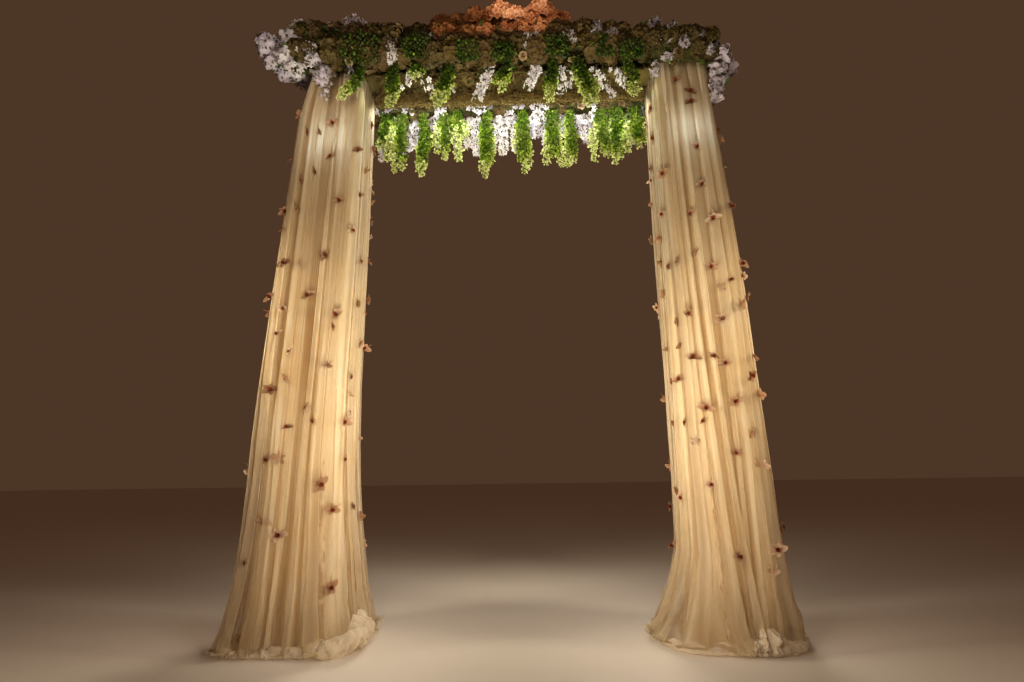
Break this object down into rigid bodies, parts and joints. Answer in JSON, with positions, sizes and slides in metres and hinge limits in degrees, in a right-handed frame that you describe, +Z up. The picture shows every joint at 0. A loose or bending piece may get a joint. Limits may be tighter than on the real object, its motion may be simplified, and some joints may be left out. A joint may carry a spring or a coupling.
{
  "type": "draped wedding canopy with a floral header",
  "caption": "Free-standing walk-through wedding canopy: two columns draped in sheer pleated cloth carry a deep header of flowers with hanging greenery.",
  "frame": {"origin": "on the floor, midway between the two columns", "axes": "+Z up, +X along the header to the right seen from the front, +Y from the front face to the rear; a person walks through along Y"},
  "size_m": [3.6835, 0.7838, 4.3503],
  "materials": {
    "plate_steel": "off-white paint on steel plate",
    "frame_tube": "satin extruded tube",
    "sheer_cloth": "ivory sheer over a thin lining, soft pleats, see-through at the edges",
    "lining_cloth": "cream stretched cloth",
    "mixed_blooms": "matte petals and leaves, buff, blush and white",
    "moss": "brown fuzzy moss",
    "hydrangea": "blush and rust petals",
    "orchid_petals": "white waxy petals",
    "hanging_green": "dark green with lime tips"
  },
  "bodies": {
    "root": {"left_base_plate": "plate_steel", "right_base_plate": "plate_steel", "left_front_outer_upright": "frame_tube", "left_front_inner_upright": "frame_tube", "left_rear_outer_upright": "frame_tube", "left_rear_inner_upright": "frame_tube", "right_front_outer_upright": "frame_tube", "right_front_inner_upright": "frame_tube", "right_rear_outer_upright": "frame_tube", "right_rear_inner_upright": "frame_tube", "left_middle_ring": "frame_tube", "right_middle_ring": "frame_tube", "left_drape_ring": "frame_tube", "right_drape_ring": "frame_tube", "front_beam": "frame_tube", "rear_beam": "frame_tube", "rung_1": "frame_tube", "rung_2": "frame_tube", "rung_3": "frame_tube", "rung_4": "frame_tube", "soffit_lining": "lining_cloth", "left_front_drape": "sheer_cloth", "left_rear_drape": "sheer_cloth", "left_outer_drape": "sheer_cloth", "left_inner_drape": "sheer_cloth", "left_inner_train": "sheer_cloth", "right_front_drape": "sheer_cloth", "right_rear_drape": "sheer_cloth", "right_outer_drape": "sheer_cloth", "right_inner_drape": "sheer_cloth", "right_inner_train": "sheer_cloth", "front_flower_bed": "mixed_blooms", "rear_flower_bed": "mixed_blooms", "rear_moss_band": "moss", "top_hydrangea_heads": "hydrangea", "left_end_orchids": "orchid_petals", "right_end_orchids": "orchid_petals", "front_orchid_sprays": "orchid_petals", "rear_orchid_sprays": "orchid_petals", "front_green_tails": "hanging_green", "rear_green_tails": "hanging_green"}
  },
  "joints": []
}
